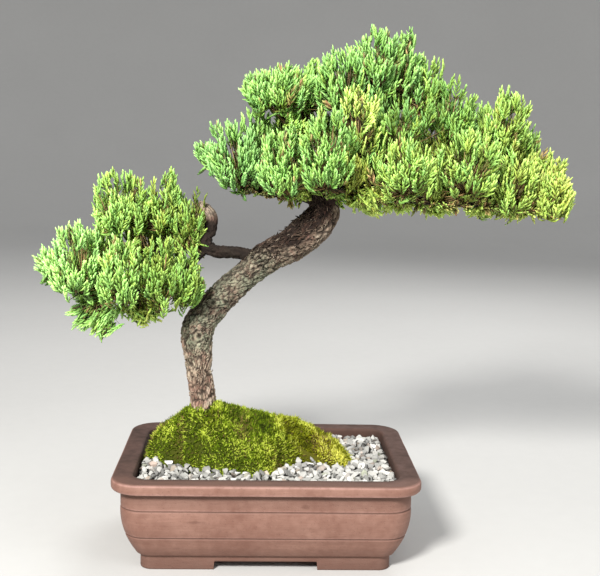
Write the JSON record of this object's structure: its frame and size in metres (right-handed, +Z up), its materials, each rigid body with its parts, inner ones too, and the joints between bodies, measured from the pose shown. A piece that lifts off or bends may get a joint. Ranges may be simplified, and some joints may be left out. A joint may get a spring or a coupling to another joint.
{
  "type": "bonsai tree in a pot",
  "caption": "Juniper bonsai with a curved trunk, a spreading canopy and a low left branch, in a brown rectangular clay pot with a moss mound and pale gravel.",
  "frame": {"origin": "on the surface that the pot stands on, under the middle of the pot", "axes": "+X along the pot to the right, the way the canopy leans; +Y away from the viewer; +Z up"},
  "size_m": [0.4663, 0.2208, 0.459],
  "materials": {
    "clay": "matte",
    "screen": "matte",
    "soil": "matte",
    "gravel": "matte",
    "moss": "matte",
    "bark": "matte",
    "foliage": "matte"
  },
  "bodies": {
    "root": {"pot": "clay", "drain_screen_left": "screen", "drain_screen_right": "screen", "soil": "soil", "gravel": "gravel", "moss": "moss", "trunk": "bark", "bough_back_centre": "foliage", "bough_back_crown": "foliage", "bough_back_end": "foliage", "bough_back_far": "foliage", "bough_back_left": "foliage", "bough_back_right": "foliage", "bough_back_shelf": "foliage", "bough_centre_dark": "foliage", "bough_centre_high": "foliage", "bough_centre_low": "foliage", "bough_crown_left": "foliage", "bough_crown_right": "foliage", "bough_crown_top": "foliage", "bough_drop_end": "foliage", "bough_drop_first": "foliage", "bough_drop_left": "foliage", "bough_drop_mid": "foliage", "bough_drop_right": "foliage", "bough_drop_tip": "foliage", "bough_fan_front": "foliage", "bough_gold_mid": "foliage", "bough_left_front": "foliage", "bough_left_low": "foliage", "bough_left_mid": "foliage", "bough_pad_back": "foliage", "bough_pad_back_left": "foliage", "bough_pad_crest": "foliage", "bough_pad_elbow": "foliage", "bough_pad_foot": "foliage", "bough_pad_front": "foliage", "bough_pad_high": "foliage", "bough_pad_left": "foliage", "bough_pad_middle": "foliage", "bough_pad_right": "foliage", "bough_pad_spike": "foliage", "bough_pad_tip": "foliage", "bough_pad_under": "foliage", "bough_right_end": "foliage", "bough_right_front": "foliage", "bough_right_high": "foliage", "bough_right_low": "foliage", "bough_right_mid": "foliage", "bough_right_spike": "foliage", "bough_shelf_left": "foliage", "bough_shelf_mid": "foliage", "bough_shelf_right": "foliage", "bough_shoulder": "foliage", "bough_shoulder_high": "foliage", "bough_shoulder_right": "foliage", "bough_tip_left": "foliage", "bough_under_front": "foliage"}
  },
  "joints": []
}
